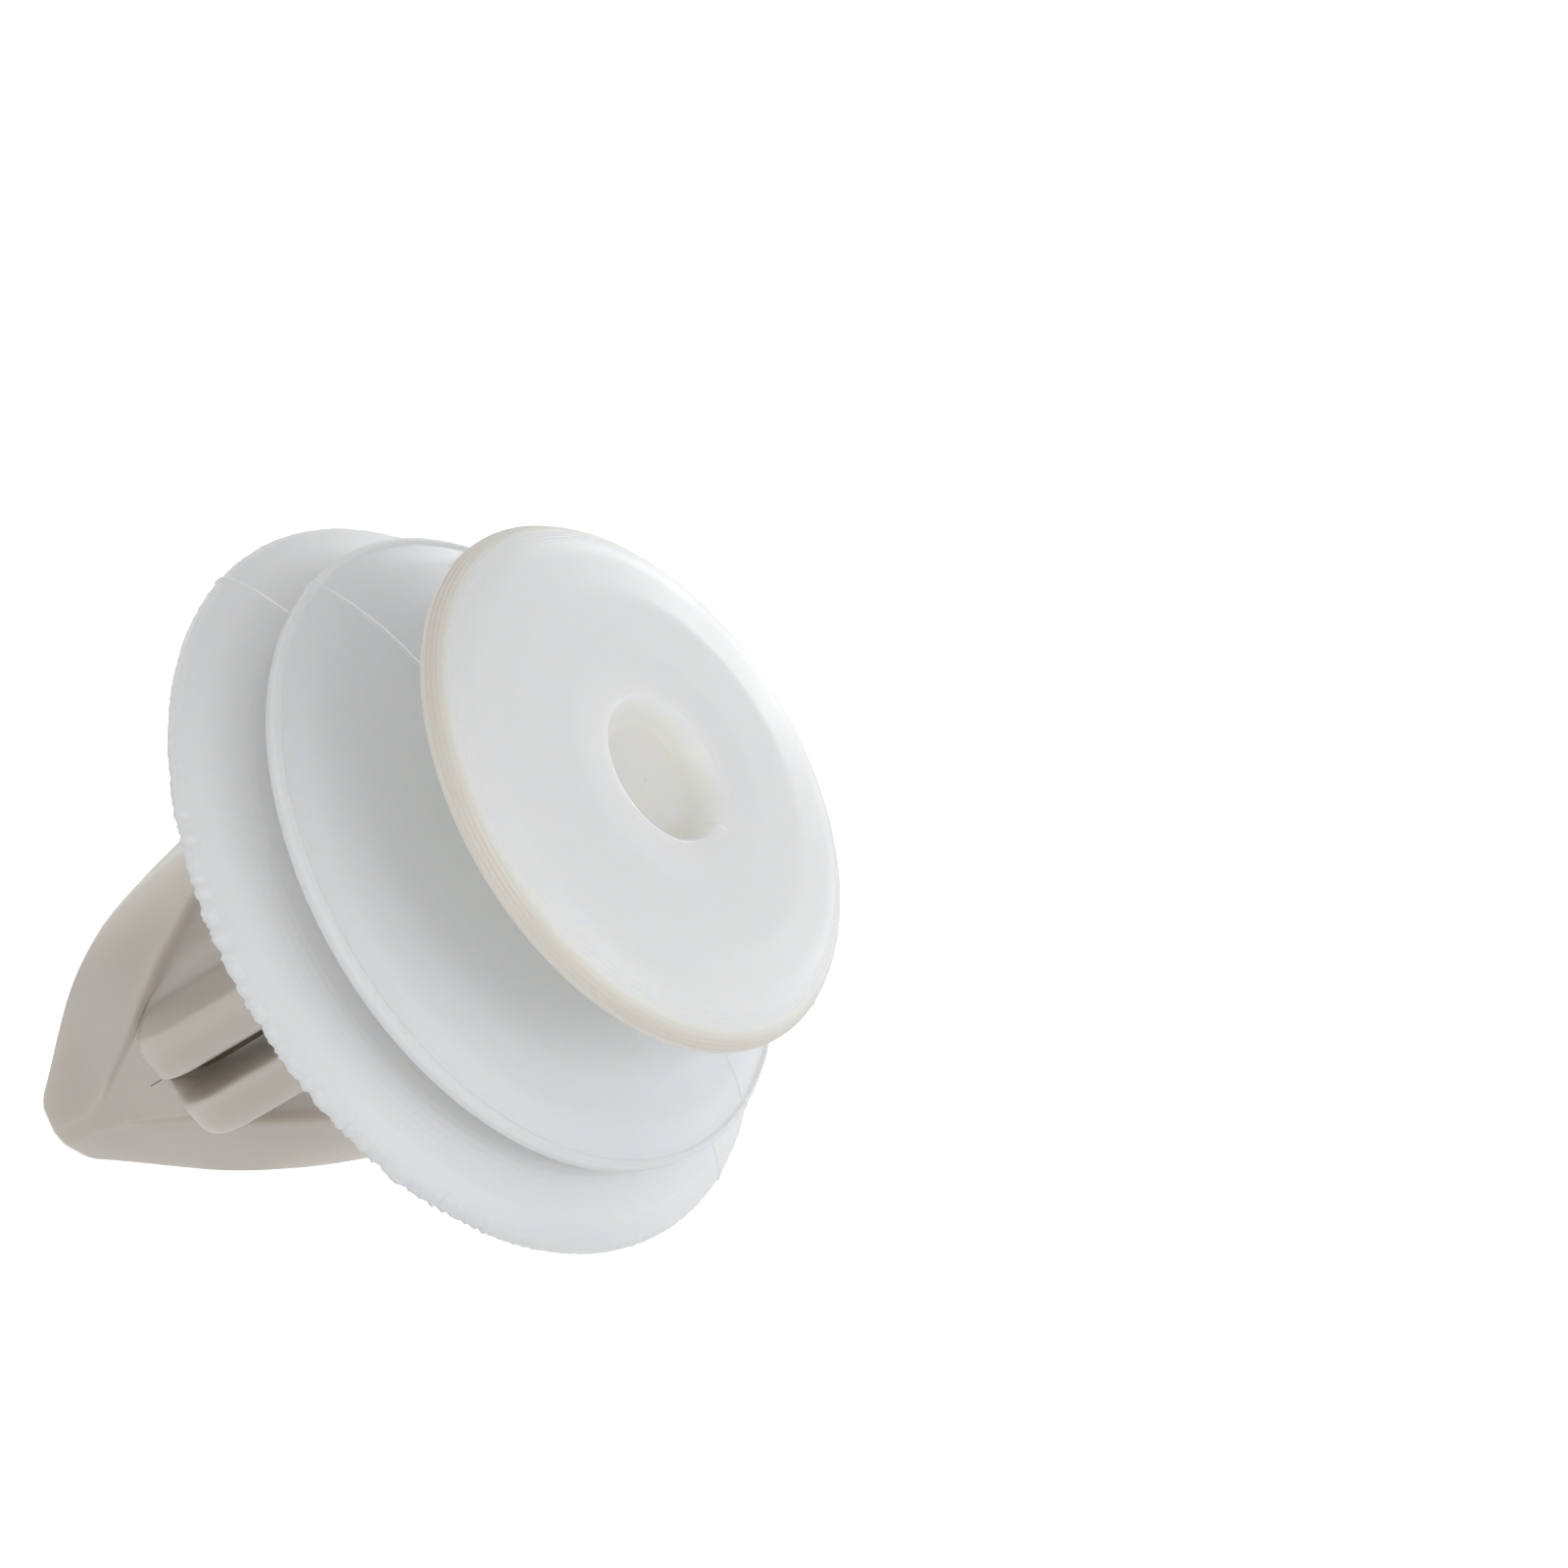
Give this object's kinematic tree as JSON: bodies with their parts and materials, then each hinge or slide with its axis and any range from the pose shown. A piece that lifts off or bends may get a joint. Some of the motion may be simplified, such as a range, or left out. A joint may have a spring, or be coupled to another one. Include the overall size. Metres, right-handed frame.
{
  "type": "push-in panel clip",
  "caption": "One-piece moulded push-in panel clip: domed head on a neck, two umbrella flanges and a slotted spade shank whose legs spring inwards.",
  "frame": {"origin": "on the clip's axis, in the plane of the sealing flange's rim, which seats on the panel", "axes": "+Z along the axis towards the head, so the nose points along -Z; X across the two legs; Y square to the slot between them"},
  "size_m": [0.0222, 0.0222, 0.0253],
  "materials": {
    "nylon": "natural translucent nylon, semi-gloss"
  },
  "bodies": {
    "moulding": {"head_disc": "nylon", "neck": "nylon", "upper_flange": "nylon", "flange_hub": "nylon", "sealing_flange": "nylon", "waist": "nylon", "centre_web": "nylon", "nose": "nylon"},
    "right_leg": {"right_wing": "nylon", "right_front_rib": "nylon", "right_back_rib": "nylon"},
    "left_leg": {"left_wing": "nylon", "left_front_rib": "nylon", "left_back_rib": "nylon"}
  },
  "joints": [
    {"name": "right_leg_flex", "type": "hinge", "parent": "moulding", "child": "right_leg", "pos_m": [0.0018, 0, -0.013], "axis": [0, -1, 0], "range_deg": [0, 1.6], "stiffness_Nm_per_rad": 0.5},
    {"name": "left_leg_flex", "type": "hinge", "parent": "moulding", "child": "left_leg", "pos_m": [-0.0018, 0, -0.013], "axis": [0, 1, 0], "range_deg": [0, 1.6], "stiffness_Nm_per_rad": 0.5}
  ]
}
